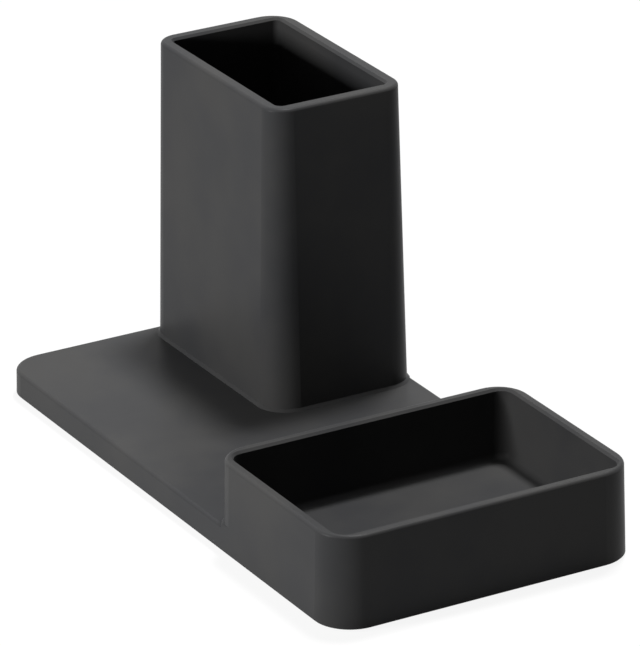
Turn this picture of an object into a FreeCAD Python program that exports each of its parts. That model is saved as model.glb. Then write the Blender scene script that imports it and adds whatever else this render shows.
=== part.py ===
"""Desk pen holder: one moulded body with a tall pen cup and a low tray on a base plate,
closed from below by a screwed cover on four rubber feet.

X runs across the plate, Y along it from the tray (front) to the cup (back), Z up.
The origin is at the middle of the plate, on the surface that the feet stand on.
"""
import FreeCAD, Part
import math
import os

import Sketcher

Vector = FreeCAD.Vector
doc = FreeCAD.newDocument("pen_holder")

# Driving dimensions, in millimetres and degrees
SIZES = {
    "plate_length": 200.0,
    "plate_width": 99.2,
    "plate_height": 7.8,
    "plate_skin": 2.6,
    "corner_radius": 11.5,
    "edge_round": 1.0,
    "draft_angle": 1.35,
    "skirt_wall": 3.0,
    "skirt_edge_break": 0.3,
    "root_flare": 0.8,
    "tray_length": 70.5,
    "tray_height": 28.0,
    "tray_wall": 3.3,
    "tray_corner_radius": 10.3,
    "tray_inner_radius": 4.0,
    "tray_floor_height": 6.0,
    "tray_floor_skin": 2.4,
    "tray_floor_fillet": 2.2,
    "tray_draft_angle": 0.8,
    "cup_width": 49.4,
    "cup_depth": 78.0,
    "cup_height": 102.0,
    "cup_wall": 4.1,
    "cup_corner_radius": 9.2,
    "cup_inner_radius": 4.2,
    "rim_round": 1.1,
    "rim_inner_break": 0.7,
    "hollow_radius": 3.0,
    "rib_thickness": 1.6,
    "rib_gap": 0.2,
    "cover_thickness": 2.0,
    "cover_recess": 0.3,
    "cover_gap": 0.2,
    "cover_ledge": 1.2,
    "cup_plug_thickness": 1.5,
    "cup_plug_height": 2.5,
    "cup_plug_gap": 0.3,
    "screw_core_diameter": 1.7,
    "screw_head_diameter": 3.8,
    "screw_length": 4.5,
    "screw_gap": 0.3,
    "screw_seat_gap": 0.05,
    "side_screw_inset": 12.0,
    "end_screw_inset": 26.0,
    "screw_drive_length": 2.0,
    "screw_drive_width": 0.5,
    "screw_drive_depth": 0.6,
    "pilot_gap": 0.05,
    "pilot_spare_depth": 0.3,
    "boss_diameter": 5.5,
    "foot_diameter": 12.0,
    "foot_lift": 0.8,
    "foot_recess": 0.8,
    "foot_gap": 0.1,
    "foot_inset": 12.0,
}

sheet = doc.addObject("Spreadsheet::Sheet", "Sizes")
for row, (alias, value) in enumerate(SIZES.items(), start=1):
    sheet.set(f"A{row}", alias)
    sheet.set(f"B{row}", str(value))
    sheet.setAlias(f"B{row}", alias)
doc.recompute()

# Expressions that several features share
SLOPE = "tan(Sizes.draft_angle * 1deg)"
HALF_WIDTH = "Sizes.plate_width / 2"
HALF_LENGTH = "Sizes.plate_length / 2"
SKIRT_Z = "Sizes.foot_lift"
PLATE_Z = "(Sizes.foot_lift + Sizes.plate_height)"
TRAY_Z = "(Sizes.foot_lift + Sizes.tray_height)"
CUP_Z = "(Sizes.foot_lift + Sizes.cup_height)"
TRAY_FLOOR_Z = "(Sizes.foot_lift + Sizes.tray_floor_height)"
COVER_Z = "(Sizes.foot_lift + Sizes.cover_recess)"
COVER_TOP_Z = "(Sizes.foot_lift + Sizes.cover_recess + Sizes.cover_thickness)"
PLATE_HOLLOW_Z = "(Sizes.foot_lift + Sizes.plate_height - Sizes.plate_skin)"
TRAY_HOLLOW_Z = "(Sizes.foot_lift + Sizes.tray_floor_height - Sizes.tray_floor_skin)"
TRAY_BACK = "(Sizes.tray_length - Sizes.plate_length / 2)"
CUP_LEFT = "(Sizes.plate_width / 2 - Sizes.cup_width)"
CUP_FRONT = "(Sizes.plate_length / 2 - Sizes.cup_depth)"
SHELF_MIDDLE = f"(({TRAY_BACK} + {CUP_FRONT}) / 2)"
STRIP_MIDDLE = f"(({CUP_LEFT} - {HALF_WIDTH}) / 2)"
HOLLOW_X = "(Sizes.plate_width / 2 - Sizes.skirt_wall)"
HOLLOW_Y = "(Sizes.plate_length / 2 - Sizes.skirt_wall)"
HOLLOW_CORNER = "(Sizes.corner_radius - Sizes.skirt_wall)"

# Every screw stands on the cover: two under the tray, one at the shelf's right, one beside the cup
TRAY_SCREWS = [(STRIP_MIDDLE, f"Sizes.end_screw_inset - {HALF_LENGTH}"),
               (f"-{STRIP_MIDDLE}", f"Sizes.end_screw_inset - {HALF_LENGTH}")]
PLATE_SCREWS = [(f"{HALF_WIDTH} - Sizes.side_screw_inset", SHELF_MIDDLE),
                (STRIP_MIDDLE, f"{HALF_LENGTH} - Sizes.end_screw_inset")]
SCREWS = TRAY_SCREWS + PLATE_SCREWS
FEET = {f"foot_{end}_{side}": (f"{sx} * ({HALF_WIDTH} - Sizes.foot_inset)",
                               f"{sy} * ({HALF_LENGTH} - Sizes.foot_inset)")
        for end, sy in (("front", -1), ("rear", 1)) for side, sx in (("left", -1), ("right", 1))}


def number(expression):
    """What an expression on the sheet's cells gives now."""
    value = sheet.evalExpression(expression.replace("Sizes.", ""))
    return float(getattr(value, "Value", value))


def new_body(name):
    body = doc.addObject("PartDesign::Body", name)
    body.Label = name
    return body


def new_sketch(body, name, role="XY_Plane", height="0", x="0", y="0"):
    """A sketch on one of the body's own origin planes, moved to the given place."""
    sketch = body.newObject("Sketcher::SketchObject", name)
    plane = [p for p in body.Origin.OriginFeatures if p.Role == role][0]
    sketch.AttachmentSupport = (plane, [""])
    sketch.MapMode = "FlatFace"
    for axis, expression in zip("xyz", (x, y, height)):
        sketch.setExpression(f"AttachmentOffset.Base.{axis}", expression)
    return sketch


def dimension(sketch, kind, *where, expression):
    """A driving constraint that follows an expression."""
    index = sketch.addConstraint(Sketcher.Constraint(kind, *where, number(expression)))
    sketch.setExpression(f"Constraints[{index}]", expression)


def outline(sketch, corners, closed=True):
    """Lines along X and Y through corners (x, y, radius), with a tangent arc at each radius."""
    points = [Vector(number(x), number(y), 0) for x, y, _ in corners]
    radii = [number(radius) if radius else 0.0 for _, _, radius in corners]
    count = len(corners) if closed else len(corners) - 1
    lines = []
    for i in range(count):
        j = (i + 1) % len(corners)
        along = (points[j] - points[i]).normalize()
        start, end = points[i] + along * radii[i], points[j] - along * radii[j]
        line = sketch.addGeometry(Part.LineSegment(start, end), False)
        lines.append(line)
        if abs(along.x) < 0.5:
            sketch.addConstraint(Sketcher.Constraint("Vertical", line))
            dimension(sketch, "DistanceX", -1, 1, line, 1, expression=corners[i][0])
        else:
            sketch.addConstraint(Sketcher.Constraint("Horizontal", line))
            dimension(sketch, "DistanceY", -1, 1, line, 1, expression=corners[i][1])
    for i in range(count if closed else count - 1):
        before, after = lines[i], lines[(i + 1) % count]
        corner = (i + 1) % len(corners)
        if not radii[corner]:
            sketch.addConstraint(Sketcher.Constraint("Coincident", before, 2, after, 1))
            continue
        arriving = (points[corner] - points[i]).normalize()
        leaving = (points[(corner + 1) % len(corners)] - points[corner]).normalize()
        left_turn = arriving.cross(leaving).z > 0
        centre = points[corner] + (leaving - arriving) * radii[corner]
        towards = -leaving if left_turn else arriving
        begin = math.atan2(towards.y, towards.x)
        circle = Part.Circle(centre, Vector(0, 0, 1), radii[corner])
        arc = sketch.addGeometry(Part.ArcOfCircle(circle, begin, begin + math.pi / 2), False)
        ends = (1, 2) if left_turn else (2, 1)
        sketch.addConstraint(Sketcher.Constraint("Tangent", before, 2, arc, ends[0]))
        sketch.addConstraint(Sketcher.Constraint("Tangent", arc, ends[1], after, 1))
        dimension(sketch, "Radius", arc, expression=corners[corner][2])
    if closed:
        return
    for line, end, i, j in ((lines[0], 1, 0, 1), (lines[-1], 2, -1, -2)):
        axis = 0 if abs(points[i].x - points[j].x) > abs(points[i].y - points[j].y) else 1
        dimension(sketch, "DistanceX" if axis == 0 else "DistanceY", -1, 1, line, end,
                  expression=corners[i][axis])


def circles(sketch, centres, diameter):
    """A circle at each centre (x, y), all of one diameter."""
    for x, y in centres:
        circle = Part.Circle(Vector(number(x), number(y), 0), Vector(0, 0, 1), number(diameter) / 2)
        index = sketch.addGeometry(circle, False)
        dimension(sketch, "DistanceX", -1, 1, index, 3, expression=x)
        dimension(sketch, "DistanceY", -1, 1, index, 3, expression=y)
        dimension(sketch, "Diameter", index, expression=diameter)


def corners(left, right, front, back, inset, radii):
    """The four corners of a rectangle drawn in by an inset, from the front left round to the back left."""
    x0, x1 = f"{left} + {inset}", f"{right} - ({inset})"
    y0, y1 = f"{front} + {inset}", f"{back} - ({inset})"
    return [(x, y, f"{radius} - ({inset})")
            for (x, y), radius in zip(((x0, y0), (x1, y0), (x1, y1), (x0, y1)), radii)]


def plate_corners(inset="0"):
    return corners(f"-{HALF_WIDTH}", HALF_WIDTH, f"-{HALF_LENGTH}", HALF_LENGTH, inset,
                   ["Sizes.corner_radius"] * 4)


def tray_corners(inset="0", inner_radius=None):
    """The tray's outline, with the plate's own corners at the front; inside, all radii are alike."""
    radii = ["Sizes.corner_radius"] * 2 + ["Sizes.tray_corner_radius"] * 2
    if inner_radius:
        radii = [f"{inner_radius} + ({inset})"] * 4
    return corners(f"-{HALF_WIDTH}", HALF_WIDTH, f"-{HALF_LENGTH}", TRAY_BACK, inset, radii)


def cup_corners(inset="0", inner_radius=None):
    """The cup's outline, with the plate's own corner at the back right; inside, all radii are alike."""
    radii = ["Sizes.cup_corner_radius"] * 2 + ["Sizes.corner_radius", "Sizes.cup_corner_radius"]
    if inner_radius:
        radii = [f"{inner_radius} + ({inset})"] * 4
    return corners(CUP_LEFT, HALF_WIDTH, CUP_FRONT, HALF_LENGTH, inset, radii)


def extrude(kind, sketch, name, length=None, taper=None, upwards=True):
    """A Pad or a Pocket of a sketch, upwards or downwards; a pocket with no length goes through all."""
    body = sketch.getParentGeoFeatureGroup()
    feature = body.newObject(f"PartDesign::{kind}", name)
    feature.Profile = sketch
    feature.Reversed = upwards if kind == "Pocket" else not upwards
    if length:
        feature.setExpression("Length", length)
    else:
        feature.Type = "ThroughAll"
    if taper:
        feature.setExpression("TaperAngle", taper)
    doc.recompute()
    return feature


def edges_at(feature, height, within=None):
    """Names of the feature's edges that lie level at a height, inside the box (x0, x1, y0, y1)."""
    z = number(height)
    names = []
    for index, edge in enumerate(feature.Shape.Edges, start=1):
        box = edge.BoundBox
        level = abs(box.ZMin - z) < 1e-4 and abs(box.ZMax - z) < 1e-4
        middle = edge.valueAt((edge.FirstParameter + edge.LastParameter) / 2)
        inside = within is None or (within[0] < middle.x < within[1] and within[2] < middle.y < within[3])
        if level and inside:
            names.append(f"Edge{index}")
    return names


def outer_edges(feature, height):
    """Names of the edges of the longest loop that lies level at a height."""
    z = number(height)
    loops = [wire for wire in feature.Shape.Wires
             if abs(wire.BoundBox.ZMin - z) < 1e-4 and abs(wire.BoundBox.ZMax - z) < 1e-4]
    codes = {edge.hashCode() for edge in max(loops, key=lambda wire: wire.Length).Edges}
    return [name for name in edges_at(feature, height) if feature.Shape.getElement(name).hashCode() in codes]


def dress(kind, base, name, names, size):
    """A Fillet or a Chamfer of named edges of a feature."""
    feature = base.getParentGeoFeatureGroup().newObject(f"PartDesign::{kind}", name)
    feature.Base = (base, names)
    feature.setExpression("Radius" if kind == "Fillet" else "Size", size)
    doc.recompute()
    return feature


def dress_rim(base, name, height):
    """Rounds the outer edge of an open rim and breaks its inner edge."""
    outside = dress("Fillet", base, f"{name}_outside", outer_edges(base, height), "Sizes.rim_round")
    outer = outer_edges(outside, height)
    inner = [edge for edge in edges_at(outside, height) if edge not in outer]
    return dress("Chamfer", outside, f"{name}_inside", inner, "Sizes.rim_inner_break")


def polygon(sketch, points):
    """Draws a closed run of straight lines through points given as expressions."""
    for i, (x, y) in enumerate(points):
        next_x, next_y = points[(i + 1) % len(points)]
        line = sketch.addGeometry(Part.LineSegment(Vector(number(x), number(y), 0),
                                                   Vector(number(next_x), number(next_y), 0)), False)
        dimension(sketch, "DistanceX", -1, 1, line, 1, expression=x)
        dimension(sketch, "DistanceY", -1, 1, line, 1, expression=y)
        if i:
            sketch.addConstraint(Sketcher.Constraint("Coincident", line - 1, 2, line, 1))
    sketch.addConstraint(Sketcher.Constraint("Coincident", line, 2, 0, 1))


def root_flare(body, name, path_corners, foot, side, start_y):
    """The sloping foot of a drafted wall: its profile carried along the line where the wall stands.

    The profile is drawn where the path starts, with the wall's foot at x = foot and the open
    side towards side (-1 or 1), and it reaches down into the plate and back into the wall.
    """
    path = new_sketch(body, f"{name}_path", height=PLATE_Z)
    outline(path, path_corners, closed=False)
    profile = new_sketch(body, f"{name}_profile", role="XZ_Plane", height=f"-({start_y})")
    toe = f"{foot} + {side} * Sizes.root_flare"
    back = f"{foot} - ({side}) * Sizes.root_flare"
    low = f"{PLATE_Z} - Sizes.edge_round"
    top = f"{PLATE_Z} + Sizes.root_flare"
    polygon(profile, [(toe, PLATE_Z), (toe, low), (back, low), (back, top),
                      (f"{foot} - ({side}) * Sizes.root_flare * {SLOPE}", top)])
    pipe = body.newObject("PartDesign::AdditivePipe", name)
    pipe.Profile = profile
    pipe.Spine = (path, [])
    doc.recompute()
    return pipe


OUTSIDE_DRAFT = "-Sizes.draft_angle"

# Body: the base plate, with its rounded upper edge
body = new_body("holder_body")
sketch = new_sketch(body, "plate_outline", height=SKIRT_Z)
outline(sketch, plate_corners())
plate = extrude("Pad", sketch, "plate", "Sizes.plate_height", OUTSIDE_DRAFT)
dress("Fillet", plate, "plate_edge", edges_at(plate, PLATE_Z), "Sizes.edge_round")

# Tray: a block flush with the plate's sides and front, hollowed from above
sketch = new_sketch(body, "tray_outline", height=SKIRT_Z)
outline(sketch, tray_corners())
extrude("Pad", sketch, "tray_block", "Sizes.tray_height", OUTSIDE_DRAFT)
sketch = new_sketch(body, "tray_cavity_outline", height=TRAY_Z)
outline(sketch, tray_corners(f"(Sizes.tray_height * {SLOPE} + Sizes.tray_wall)", "Sizes.tray_inner_radius"))
cavity = extrude("Pocket", sketch, "tray_cavity", "Sizes.tray_height - Sizes.tray_floor_height",
                 "-Sizes.tray_draft_angle", upwards=False)
tray_rim = dress_rim(cavity, "tray_rim", TRAY_Z)
dress("Fillet", tray_rim, "tray_floor", edges_at(tray_rim, TRAY_FLOOR_Z), "Sizes.tray_floor_fillet")

# Cup: a block that rises from the back right corner, cored right through from below
sketch = new_sketch(body, "cup_outline", height=SKIRT_Z)
outline(sketch, cup_corners())
extrude("Pad", sketch, "cup_block", "Sizes.cup_height", OUTSIDE_DRAFT)
sketch = new_sketch(body, "cup_bore_outline", height=SKIRT_Z)
outline(sketch, cup_corners("Sizes.cup_wall", "Sizes.cup_inner_radius"))
bore = extrude("Pocket", sketch, "cup_bore", "Sizes.cup_height + Sizes.rim_round", OUTSIDE_DRAFT)
dress_rim(bore, "cup_rim", CUP_Z)

# Flared feet where the tray and the cup stand on the plate, cut off flush with its sides
plate_inset = f"Sizes.plate_height * {SLOPE}"
back_right, back_left = tray_corners(plate_inset)[2:]
tray_start = f"{back_left[1]} - ({back_left[2]}) - Sizes.root_flare"
root_flare(body, "tray_root", [(back_left[0], tray_start, None), back_left, back_right,
                               (back_right[0], tray_start, None)], back_left[0], -1, tray_start)
front_left, front_right, _, back_left = cup_corners(plate_inset)
cup_start = f"{front_right[1]} + {front_right[2]} + Sizes.root_flare"
cup_end = f"{back_left[0]} + {back_left[2]} + Sizes.root_flare"
root_flare(body, "cup_root", [(front_right[0], cup_start, None), front_right, front_left, back_left,
                              (cup_end, back_left[1], None)], front_right[0], 1, cup_start)
sketch = new_sketch(body, "trim_outline", height=f"{PLATE_Z} - Sizes.edge_round")
outline(sketch, plate_corners(f"(Sizes.plate_height - Sizes.edge_round) * {SLOPE}"))
outline(sketch, [(x, y, None) for x, y, _ in plate_corners("-4 * Sizes.root_flare")])
extrude("Pocket", sketch, "trim", "Sizes.edge_round + 2 * Sizes.root_flare", OUTSIDE_DRAFT)

# Underside: a recess for the cover, and the hollows above it that leave even walls
sketch = new_sketch(body, "cover_recess_outline", height=SKIRT_Z)
outline(sketch, plate_corners("(Sizes.skirt_wall - Sizes.cover_ledge)"))
extrude("Pocket", sketch, "cover_recess", "Sizes.cover_recess + Sizes.cover_thickness")
sketch = new_sketch(body, "plate_hollow_outline", height=COVER_TOP_Z)
outline(sketch, [(f"-{HOLLOW_X}", TRAY_BACK, "Sizes.hollow_radius"),
                 (HOLLOW_X, TRAY_BACK, "Sizes.hollow_radius"),
                 (HOLLOW_X, CUP_FRONT, "Sizes.hollow_radius"),
                 (CUP_LEFT, CUP_FRONT, "Sizes.cup_corner_radius"),
                 (CUP_LEFT, HOLLOW_Y, "Sizes.hollow_radius"),
                 (f"-{HOLLOW_X}", HOLLOW_Y, HOLLOW_CORNER)])
extrude("Pocket", sketch, "plate_hollow", f"{PLATE_HOLLOW_Z} - {COVER_TOP_Z}")
sketch = new_sketch(body, "tray_hollow_outline", height=COVER_TOP_Z)
outline(sketch, [(f"-{HOLLOW_X}", f"-{HOLLOW_Y}", HOLLOW_CORNER),
                 (HOLLOW_X, f"-{HOLLOW_Y}", HOLLOW_CORNER),
                 (HOLLOW_X, f"{TRAY_BACK} + Sizes.hollow_radius", None),
                 (f"-{HOLLOW_X}", f"{TRAY_BACK} + Sizes.hollow_radius", None)])
extrude("Pocket", sketch, "tray_hollow", f"{TRAY_HOLLOW_Z} - {COVER_TOP_Z}")

# Stiffening ribs under the plate, clear of the cover
half_rib = "Sizes.rib_thickness / 2"
sketch = new_sketch(body, "long_rib_outline", height=f"{COVER_TOP_Z} + Sizes.rib_gap")
outline(sketch, [(x, y, None) for x, y, _ in corners(
    f"{STRIP_MIDDLE} - {half_rib}", f"{STRIP_MIDDLE} + {half_rib}",
    f"{TRAY_BACK} - {half_rib}", f"{HOLLOW_Y} + {half_rib}", "0", [None] * 4)])
rib_height = f"{PLATE_HOLLOW_Z} - {COVER_TOP_Z} - Sizes.rib_gap"
extrude("Pad", sketch, "long_rib", rib_height)
sketch = new_sketch(body, "cross_rib_outline", height=f"{COVER_TOP_Z} + Sizes.rib_gap")
left_end = f"-{HOLLOW_X} - {half_rib}"
for right_end, y in ((f"{HOLLOW_X} + {half_rib}", SHELF_MIDDLE),
                     (f"{CUP_LEFT} + {half_rib}", f"{CUP_FRONT} + Sizes.cup_depth / 3"),
                     (f"{CUP_LEFT} + {half_rib}", f"{HALF_LENGTH} - Sizes.end_screw_inset")):
    outline(sketch, [(px, py, None) for px, py, _ in corners(
        left_end, right_end, f"{y} - {half_rib}", f"{y} + {half_rib}", "0", [None] * 4)])
extrude("Pad", sketch, "cross_ribs", rib_height)

# Screw bosses that stand on the cover, each with its pilot hole
for name, centres, top in (("tray_bosses", TRAY_SCREWS, TRAY_HOLLOW_Z),
                           ("plate_bosses", PLATE_SCREWS, PLATE_HOLLOW_Z)):
    sketch = new_sketch(body, f"{name}_outline", height=COVER_TOP_Z)
    circles(sketch, centres, "Sizes.boss_diameter")
    extrude("Pad", sketch, name, f"{top} - {COVER_TOP_Z}")
sketch = new_sketch(body, "pilot_outline", height=COVER_TOP_Z)
circles(sketch, SCREWS, "Sizes.screw_core_diameter + 2 * Sizes.pilot_gap")
pilots = extrude("Pocket", sketch, "pilot_holes",
                 "Sizes.screw_length - Sizes.cover_thickness + Sizes.pilot_spare_depth")
dress("Chamfer", pilots, "skirt_edge", outer_edges(pilots, SKIRT_Z), "Sizes.skirt_edge_break")

# Bottom cover: it rests on the ledge, the bosses and the cup's walls, and its plug closes the cup
cover = new_body("bottom_cover")
sketch = new_sketch(cover, "cover_outline", height=COVER_Z)
outline(sketch, plate_corners("(Sizes.skirt_wall - Sizes.cover_ledge + Sizes.cover_gap)"))
extrude("Pad", sketch, "cover_plate", "Sizes.cover_thickness")
sketch = new_sketch(cover, "cup_plug_outline", height=COVER_TOP_Z)
plug_radius = "Sizes.cup_inner_radius - Sizes.cup_plug_gap"
outline(sketch, cup_corners("(Sizes.cup_wall + Sizes.cup_plug_gap)", plug_radius))
outline(sketch, cup_corners("(Sizes.cup_wall + Sizes.cup_plug_gap + Sizes.cup_plug_thickness)",
                            f"{plug_radius} - Sizes.cup_plug_thickness"))
extrude("Pad", sketch, "cup_plug", "Sizes.cup_plug_height")
sketch = new_sketch(cover, "foot_recess_outline", height=COVER_Z)
circles(sketch, FEET.values(), "Sizes.foot_diameter + 2 * Sizes.foot_gap")
extrude("Pocket", sketch, "foot_recesses", "Sizes.foot_recess")
sketch = new_sketch(cover, "screw_hole_outline", height=COVER_Z)
circles(sketch, SCREWS, "Sizes.screw_core_diameter + 2 * Sizes.screw_gap")
holes = extrude("Pocket", sketch, "screw_holes")
mouths = [name for x, y in SCREWS for name in edges_at(holes, COVER_Z, (
    number(x) - number("Sizes.screw_head_diameter"), number(x) + number("Sizes.screw_head_diameter"),
    number(y) - number("Sizes.screw_head_diameter"), number(y) + number("Sizes.screw_head_diameter")))]
dress("Chamfer", holes, "countersinks", mouths,
      "(Sizes.screw_head_diameter - Sizes.screw_core_diameter) / 2 + Sizes.screw_seat_gap - Sizes.screw_gap")

# One self-tapping screw with a countersunk head, flush with the cover's underside
screw = new_body("screw")
profile = new_sketch(screw, "screw_profile", role="XZ_Plane")
neck_z = f"{COVER_Z} + (Sizes.screw_head_diameter - Sizes.screw_core_diameter) / 2"
end_z = f"{COVER_Z} + Sizes.screw_length"
polygon(profile, [("0", COVER_Z), ("Sizes.screw_head_diameter / 2", COVER_Z),
                  ("Sizes.screw_core_diameter / 2", neck_z), ("Sizes.screw_core_diameter / 2", end_z),
                  ("0", end_z)])
turned = screw.newObject("PartDesign::Revolution", "screw_turned")
turned.Profile = profile
turned.ReferenceAxis = (profile, ["V_Axis"])
doc.recompute()
sketch = new_sketch(screw, "screw_drive_outline", height=COVER_Z)
long_side, short_side = "Sizes.screw_drive_length / 2", "Sizes.screw_drive_width / 2"
outline(sketch, [(f"{sx} * {x}", f"{sy} * {y}", None) for sx, sy, x, y in (
    (1, -1, long_side, short_side), (1, 1, long_side, short_side), (1, 1, short_side, short_side),
    (1, 1, short_side, long_side), (-1, 1, short_side, long_side), (-1, 1, short_side, short_side),
    (-1, 1, long_side, short_side), (-1, -1, long_side, short_side), (-1, -1, short_side, short_side),
    (-1, -1, short_side, long_side), (1, -1, short_side, long_side), (1, -1, short_side, short_side))])
extrude("Pocket", sketch, "screw_drive", "Sizes.screw_drive_depth")
placed = []
for i, (x, y) in enumerate(SCREWS, start=1):
    link = doc.addObject("App::Link", f"screw_{i}")
    link.LinkedObject = screw
    link.setExpression("Placement.Base.x", x)
    link.setExpression("Placement.Base.y", y)
    placed.append(link)
cover_screws = doc.addObject("Part::Compound", "cover_screws")
cover_screws.Label = "cover_screws"
cover_screws.Links = placed

# Rubber feet, pressed into the cover's recesses
feet = []
for name, (x, y) in FEET.items():
    foot = new_body(name)
    sketch = new_sketch(foot, f"{name}_outline")
    circles(sketch, [(x, y)], "Sizes.foot_diameter")
    extrude("Pad", sketch, f"{name}_disc", "Sizes.foot_lift + Sizes.cover_recess + Sizes.foot_recess")
    feet.append(foot)

doc.recompute()
for item in doc.Objects:
    if "Invalid" in item.State or "Error" in item.State:
        raise RuntimeError(f"{item.Label} was not computed: {item.State}")
nodes = [body, cover, cover_screws] + feet
for node in nodes:
    if node.Shape.isNull() or not node.Shape.isValid():
        raise RuntimeError(f"{node.Label} has no valid shape")
os.makedirs("parts", exist_ok=True)
for node in nodes:
    node.Shape.exportStep(f"parts/{node.Label}.step")
    print(f"{node.Label}: {len(node.Shape.Solids)} solids, {node.Shape.Volume:.1f} mm3")
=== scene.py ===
"""Finishes, stage, lights and camera for the black desk pen holder.

The object's own shapes all come from the frame; each operator here gives one group of them its finish.
Sizes are in metres, with Z up and the tray at the front, towards -Y.
"""

import math

import bpy
from mathutils import Matrix, Vector

bl_info = {
    "name": "Desk Pen Holder",
    "version": (1, 0, 0),
    "blender": (4, 5, 0),
    "location": "View3D > Sidebar > Pen Holder",
    "description": "Finishes a moulded pen holder and sets it on a pale stage",
    "category": "Object",
}

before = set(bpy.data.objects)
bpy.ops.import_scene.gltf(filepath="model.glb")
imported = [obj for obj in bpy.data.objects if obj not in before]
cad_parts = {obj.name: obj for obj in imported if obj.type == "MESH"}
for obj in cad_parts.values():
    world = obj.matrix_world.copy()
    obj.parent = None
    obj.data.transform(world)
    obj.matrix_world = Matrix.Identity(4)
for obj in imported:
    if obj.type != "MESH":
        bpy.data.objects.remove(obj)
FEET = sorted(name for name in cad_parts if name.startswith("foot_"))

# Patterns of the plastic: metres across a blob, and how far each pattern moves the roughness
FLOW_MARK = 0.035
FLOW_GLOSS = 0.35
GLOSS_PATCH = 0.011
PATCH_GLOSS = 0.03
GRAIN_GLOSS = 0.04
GRAIN_RELIEF = 0.35
# The plastic's tone between flow marks and on them: a shade cooler and a shade warmer
COOL_TINT = (0.88, 0.89, 0.93)
WARM_TINT = (1.12, 1.11, 1.10)

# The cover is moulded like the body, but duller and in a coarser grain
COVER_ROUGHNESS = 0.52
COVER_SHINE = 0.3
COVER_GRAIN_SIZE = 1.6
COVER_GRAIN_DEPTH = 2.0

# Patterns of the rubber, in metres, and how its roughness and tone run from bare to dusty
RUBBER_PORE = 0.0006
RUBBER_PORE_DEPTH = 0.00008
DUST_PATCH = 0.004
RUBBER_ROUGHNESS = 0.78
DUST_ROUGHNESS = 0.12
DUST_TONE = 1.9
RUBBER_SHINE = 0.3

# Patterns and colours of the zinc plate, in metres and as linear colours
PLATE_PATCH = 0.0012
PLATE_ROUGHNESS = 0.24
PATCH_ROUGHNESS = 0.2
TURNING_MARK = 0.00012
TURNING_DEPTH = 0.00002
DULL_ZINC = (0.52, 0.53, 0.55, 1.0)
BRIGHT_ZINC = (0.72, 0.72, 0.70, 1.0)

# Lights: where each stands and how wide it is. All of them look at the middle of the holder.
SIDE_LIGHT = ((-0.6, 0.0, 0.2), 0.1)
TOP_LIGHT = ((0.377, 0.218, 1.787), 0.28)
HOLDER_MIDDLE = Vector((0.0, 0.0, 0.04))

# Camera: a focal length in pixels of a frame this many pixels high, which the sensor's long side fits
FOCAL_PIXELS = 5782.631
FRAME_PIXELS = 646.0
SENSOR_LENGTH = 36.0
VIEW_END = 50.0


class Wire:
    """An output socket that shader maths can be written with: each operator adds a Math node."""

    def __init__(self, tree, socket):
        self.tree = tree
        self.socket = socket

    def node(self, kind, settings=None, inputs=None, output=0):
        """A new node: its settings first, then the values or links of its sockets. Gives one output."""
        return new_node(self.tree, kind, settings, inputs, output)

    def maths(self, operation, *values):
        return self.node("ShaderNodeMath", {"operation": operation}, dict(enumerate(values)))

    def __add__(self, other):
        return self.maths("ADD", self, other)

    __radd__ = __add__

    def __sub__(self, other):
        return self.maths("SUBTRACT", self, other)

    def __rsub__(self, other):
        return self.maths("SUBTRACT", other, self)

    def __mul__(self, other):
        return self.maths("MULTIPLY", self, other)

    __rmul__ = __mul__

    def between(self, low, high):
        """0 at low, 1 at high, and a smooth step from one to the other."""
        return self.node("ShaderNodeMapRange", {"interpolation_type": "SMOOTHSTEP"},
                         {"Value": self, "From Min": low, "From Max": high})


def new_node(tree, kind, settings=None, inputs=None, output=0):
    node = tree.nodes.new(kind)
    for name, value in (settings or {}).items():
        setattr(node, name, value)
    for name, value in (inputs or {}).items():
        if isinstance(value, Wire):
            tree.links.new(value.socket, node.inputs[name])
        else:
            node.inputs[name].default_value = value
    return Wire(tree, node.outputs[output]) if node.outputs else None


def new_tree(name):
    """An empty material, and its node tree."""
    material = bpy.data.materials.new(name)
    material.use_nodes = True
    material.node_tree.nodes.clear()
    return material, material.node_tree


def surface(tree, shader):
    new_node(tree, "ShaderNodeOutputMaterial", None, {"Surface": shader})


def grey(value):
    return (value, value, value, 1.0)


def noise(place, size, detail):
    """A noise pattern whose blobs are about this size, in metres."""
    return place.node("ShaderNodeTexNoise", None,
                      {"Vector": place, "Scale": 1.0 / size, "Detail": detail, "Roughness": 0.55})


def blend(factor, first, second):
    """A colour between two others, by a pattern's value."""
    return factor.node("ShaderNodeMix", {"data_type": "RGBA"},
                       {"Factor": factor, "A": first, "B": second}, output="Result")


def relief(height, strength, depth):
    """A bump whose full height is this depth, in metres."""
    return height.node("ShaderNodeBump", None, {"Strength": strength, "Distance": depth, "Height": height})


def tinted(tone, tint):
    return tuple(tone * part for part in tint) + (1.0,)


def moulded_plastic(name, tone, roughness, shine, grain_size, grain_depth):
    """Satin black plastic: a fine moulded grain, faint flow marks and slightly uneven gloss."""
    material, tree = new_tree(name)
    place = new_node(tree, "ShaderNodeTexCoord", output="Object")
    grain = noise(place, grain_size, 3.0)
    flow = noise(place, FLOW_MARK, 3.0)
    patch = noise(place, GLOSS_PATCH, 4.0)
    colour = blend(flow.between(0.3, 0.7), tinted(tone, COOL_TINT), tinted(tone, WARM_TINT))
    cloud = (flow - 0.5) * FLOW_GLOSS + 1.0
    gloss = cloud * roughness + (patch.between(0.35, 0.7) - 0.5) * PATCH_GLOSS + (grain - 0.5) * GRAIN_GLOSS
    shader = new_node(tree, "ShaderNodeBsdfPrincipled", None,
                      {"Base Color": colour, "Roughness": gloss, "Specular IOR Level": shine,
                       "Normal": relief(grain, GRAIN_RELIEF, grain_depth)})
    surface(tree, shader)
    return material


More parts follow.
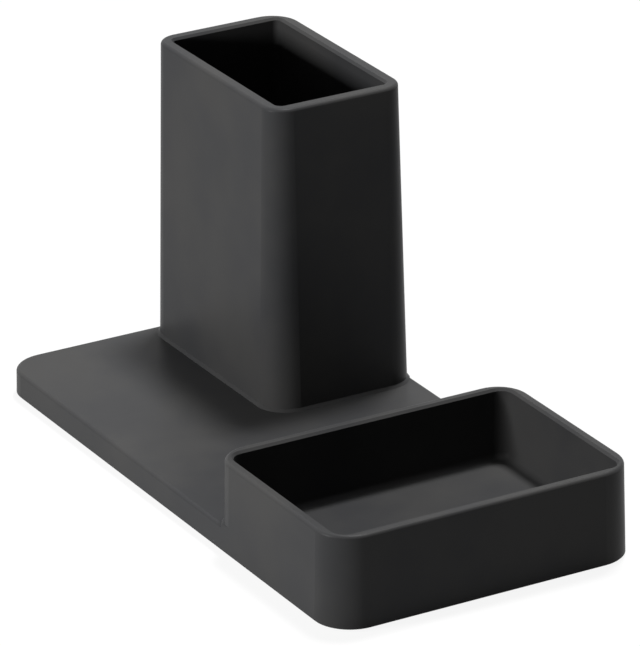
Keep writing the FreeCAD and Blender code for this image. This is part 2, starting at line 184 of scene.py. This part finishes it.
def soft_rubber(name, tone):
    """Dull black rubber with a dusty, slightly open skin."""
    material, tree = new_tree(name)
    place = new_node(tree, "ShaderNodeTexCoord", output="Object")
    pores = noise(place, RUBBER_PORE, 4.0)
    dust = noise(place, DUST_PATCH, 3.0)
    colour = blend(dust.between(0.4, 0.75), grey(tone), grey(tone * DUST_TONE))
    shader = new_node(tree, "ShaderNodeBsdfPrincipled", None,
                      {"Base Color": colour, "Roughness": dust * DUST_ROUGHNESS + RUBBER_ROUGHNESS,
                       "Specular IOR Level": RUBBER_SHINE, "Normal": relief(pores, 0.5, RUBBER_PORE_DEPTH)})
    surface(tree, shader)
    return material


def plated_steel(name):
    """Zinc plate with fine turning marks, part dull and part bright."""
    material, tree = new_tree(name)
    place = new_node(tree, "ShaderNodeTexCoord", output="Object")
    patch = noise(place, PLATE_PATCH, 3.0)
    turning = noise(place, TURNING_MARK, 1.0)
    shader = new_node(tree, "ShaderNodeBsdfPrincipled", None,
                      {"Base Color": blend(patch, DULL_ZINC, BRIGHT_ZINC), "Metallic": 1.0,
                       "Roughness": patch * PATCH_ROUGHNESS + PLATE_ROUGHNESS,
                       "Normal": relief(turning, 0.3, TURNING_DEPTH)})
    surface(tree, shader)
    return material


def dress(names, material):
    """Give the material to these nodes of the frame, in each slot that they have."""
    for name in names:
        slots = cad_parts[name].data.materials
        if not slots:
            slots.append(material)
        for index in range(len(slots)):
            slots[index] = material


class HolderFinish(bpy.types.PropertyGroup):
    body_tone: bpy.props.FloatProperty(
        name="Body Tone", description="How light the black plastic is", default=0.04, min=0.0, max=1.0)
    body_roughness: bpy.props.FloatProperty(
        name="Body Roughness", description="Roughness of the satin plastic", default=0.42, min=0.0, max=1.0)
    body_shine: bpy.props.FloatProperty(
        name="Body Shine", description="Strength of the plastic's reflections",
        default=0.055, min=0.0, max=1.0)
    grain_size: bpy.props.FloatProperty(
        name="Grain Size", description="Size of the moulded grain", default=0.00045, min=0.0,
        unit="LENGTH", precision=5)
    grain_depth: bpy.props.FloatProperty(
        name="Grain Depth", description="Depth of the moulded grain", default=0.00003, min=0.0,
        unit="LENGTH", precision=6)
    cover_tone: bpy.props.FloatProperty(
        name="Cover Tone", description="How light the bottom cover is", default=0.036, min=0.0, max=1.0)
    rubber_tone: bpy.props.FloatProperty(
        name="Rubber Tone", description="How light the rubber feet are", default=0.02, min=0.0, max=1.0)


class HolderStage(bpy.types.PropertyGroup):
    floor_size: bpy.props.FloatProperty(
        name="Floor Size", description="Width of the square floor", default=12.0, unit="LENGTH")
    floor_tone: bpy.props.FloatProperty(
        name="Floor Tone", description="How light the floor looks", default=0.8, min=0.0, max=1.0)
    floor_bounce: bpy.props.FloatProperty(
        name="Floor Bounce", description="How much of its light the floor throws back on the holder",
        default=0.35, min=0.0, max=1.0)
    floor_glow: bpy.props.FloatProperty(
        name="Floor White", description="Share of the floor's look that is white whatever shadow falls on it",
        default=0.9, min=0.0, max=1.0)
    world_level: bpy.props.FloatProperty(
        name="Room Level", description="Strength of the room's even light", default=0.02, min=0.0)
    side_power: bpy.props.FloatProperty(
        name="Side Light", description="Power of the light at the left", default=3.6, min=0.0, unit="POWER")
    top_power: bpy.props.FloatProperty(
        name="Top Light", description="Power of the light overhead", default=46.7, min=0.0, unit="POWER")
    focal: bpy.props.FloatProperty(
        name="Focal Length", description="Focal length on a sensor 36 mm long, in millimetres",
        default=FOCAL_PIXELS * SENSOR_LENGTH / FRAME_PIXELS)
    azimuth: bpy.props.FloatProperty(
        name="Azimuth", description="Where the camera stands round the holder",
        default=math.radians(-29.5392), subtype="ANGLE")
    elevation: bpy.props.FloatProperty(
        name="Elevation", description="How high the camera looks down from",
        default=math.radians(23.10405), subtype="ANGLE")
    roll: bpy.props.FloatProperty(
        name="Roll", description="How far the camera leans to one side",
        default=math.radians(-0.6650), subtype="ANGLE")
    distance: bpy.props.FloatProperty(
        name="Distance", description="From the camera to the point that it turns round",
        default=1.66636, unit="LENGTH")
    aside: bpy.props.FloatProperty(
        name="Pan Right", description="How far the camera is moved to its right",
        default=0.0029423, unit="LENGTH")
    above: bpy.props.FloatProperty(
        name="Pan Up", description="How far the camera is moved upwards", default=0.0053763, unit="LENGTH")
    target_height: bpy.props.FloatProperty(
        name="Target Height", description="Height of the point that the camera turns round",
        default=0.0408, unit="LENGTH")


class HOLDER_OT_body(bpy.types.Operator):
    """Give the moulded body its satin black plastic"""
    bl_idname = "holder.body"
    bl_label = "Finish Body"

    def execute(self, context):
        finish = context.scene.holder_finish
        dress(["holder_body"], moulded_plastic(
            "satin_black_plastic", finish.body_tone, finish.body_roughness, finish.body_shine,
            finish.grain_size, finish.grain_depth))
        return {"FINISHED"}


class HOLDER_OT_cover(bpy.types.Operator):
    """Give the bottom cover its duller black plastic, and the screws their plating"""
    bl_idname = "holder.cover"
    bl_label = "Finish Cover and Screws"

    def execute(self, context):
        finish = context.scene.holder_finish
        dress(["bottom_cover"], moulded_plastic(
            "cover_plastic", finish.cover_tone, COVER_ROUGHNESS, COVER_SHINE,
            finish.grain_size * COVER_GRAIN_SIZE, finish.grain_depth * COVER_GRAIN_DEPTH))
        dress(["cover_screws"], plated_steel("zinc_plate"))
        return {"FINISHED"}


class HOLDER_OT_feet(bpy.types.Operator):
    """Give the feet their dull rubber"""
    bl_idname = "holder.feet"
    bl_label = "Finish Feet"

    def execute(self, context):
        dress(FEET, soft_rubber("foot_rubber", context.scene.holder_finish.rubber_tone))
        return {"FINISHED"}


class HOLDER_OT_stage(bpy.types.Operator):
    """Lay a pale floor under the holder, with soft lights, an even room and the camera"""
    bl_idname = "holder.stage"
    bl_label = "Set Stage"

    def execute(self, context):
        stage = context.scene.holder_stage
        self.lay_floor(stage)
        self.light_room(context.scene, stage)
        self.add_light("side_light", *SIDE_LIGHT, stage.side_power)
        self.add_light("top_light", *TOP_LIGHT, stage.top_power)
        self.place_camera(context.scene, stage)
        context.scene.view_settings.view_transform = "Standard"
        return {"FINISHED"}

    def lay_floor(self, stage):
        """A floor that looks nearly white, keeps a faint shadow and throws little light back."""
        bpy.ops.object.select_all(action="DESELECT")
        bpy.ops.mesh.primitive_plane_add(size=stage.floor_size)
        floor = bpy.context.object
        floor.name = "pale_floor"
        material, tree = new_tree("pale_floor")
        seen = self.seen_rays(tree)
        tone = seen * (stage.floor_tone - stage.floor_bounce) + stage.floor_bounce
        matte = new_node(tree, "ShaderNodeBsdfDiffuse", None, {"Color": tone})
        white = new_node(tree, "ShaderNodeEmission", None, {"Color": grey(1.0), "Strength": 1.0})
        surface(tree, matte.node("ShaderNodeMixShader", None,
                                 {"Fac": seen * stage.floor_glow, 1: matte, 2: white}))
        floor.data.materials.append(material)

    def seen_rays(self, tree):
        """1 where the camera sees a surface, straight, in a gloss or through glass."""
        camera, glossy, through = (new_node(tree, "ShaderNodeLightPath", output=name) for name in (
            "Is Camera Ray", "Is Glossy Ray", "Is Transmission Ray"))
        return camera.maths("MINIMUM", camera + glossy + through, 1.0)

    def light_room(self, scene, stage):
        """A room that looks white and lights the holder only a little."""
        world = bpy.data.worlds.new("pale_room")
        world.use_nodes = True
        tree = world.node_tree
        tree.nodes.clear()
        strength = self.seen_rays(tree) * (1.0 - stage.world_level) + stage.world_level
        shade = new_node(tree, "ShaderNodeBackground", None, {"Color": grey(1.0), "Strength": strength})
        new_node(tree, "ShaderNodeOutputWorld", None, {"Surface": shade})
        scene.world = world

    def add_light(self, name, place, size, power):
        """A square lamp of this size that looks at the middle of the holder."""
        light = bpy.data.lights.new(name, "AREA")
        light.shape = "SQUARE"
        light.size = size
        light.energy = power
        lamp = bpy.data.objects.new(name, light)
        lamp.location = place
        lamp.rotation_euler = (HOLDER_MIDDLE - Vector(place)).to_track_quat("-Z", "Y").to_euler()
        bpy.context.scene.collection.objects.link(lamp)

    def place_camera(self, scene, stage):
        """A camera turned round a point above the floor, then leant and moved sideways in its own plane."""
        turn, rise = stage.azimuth, stage.elevation
        back = Vector((math.sin(turn) * math.cos(rise), -math.cos(turn) * math.cos(rise), math.sin(rise)))
        level = Vector((math.cos(turn), math.sin(turn), 0.0))
        upright = back.cross(level)
        right = level * math.cos(stage.roll) + upright * math.sin(stage.roll)
        up = upright * math.cos(stage.roll) - level * math.sin(stage.roll)
        target = Vector((0.0, 0.0, stage.target_height))
        camera = bpy.data.objects.new("camera", bpy.data.cameras.new("camera"))
        camera.data.lens = stage.focal
        camera.data.clip_end = VIEW_END
        axes = Matrix((right, up, back)).transposed().to_4x4()
        place = target + back * stage.distance + right * stage.aside + up * stage.above
        camera.matrix_world = Matrix.Translation(place) @ axes
        scene.collection.objects.link(camera)
        scene.camera = camera


class HOLDER_PT_panel(bpy.types.Panel):
    bl_label = "Pen Holder"
    bl_idname = "HOLDER_PT_panel"
    bl_space_type = "VIEW_3D"
    bl_region_type = "UI"
    bl_category = "Pen Holder"

    def draw(self, context):
        for group, operators in ((context.scene.holder_finish, OPERATORS[:3]),
                                 (context.scene.holder_stage, OPERATORS[3:])):
            box = self.layout.box()
            for name in group.bl_rna.properties.keys():
                if name not in ("rna_type", "name"):
                    box.prop(group, name)
            for operator in operators:
                box.operator(operator.bl_idname)


OPERATORS = (HOLDER_OT_body, HOLDER_OT_cover, HOLDER_OT_feet, HOLDER_OT_stage)
CLASSES = (HolderFinish, HolderStage) + OPERATORS + (HOLDER_PT_panel,)


def register():
    for cls in CLASSES:
        bpy.utils.register_class(cls)
    bpy.types.Scene.holder_finish = bpy.props.PointerProperty(type=HolderFinish)
    bpy.types.Scene.holder_stage = bpy.props.PointerProperty(type=HolderStage)


def unregister():
    del bpy.types.Scene.holder_stage
    del bpy.types.Scene.holder_finish
    for cls in reversed(CLASSES):
        bpy.utils.unregister_class(cls)


def main():
    register()
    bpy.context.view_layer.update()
    bpy.ops.holder.body()
    bpy.ops.holder.cover()
    bpy.ops.holder.feet()
    bpy.ops.holder.stage()


if __name__ == "__main__":
    main()
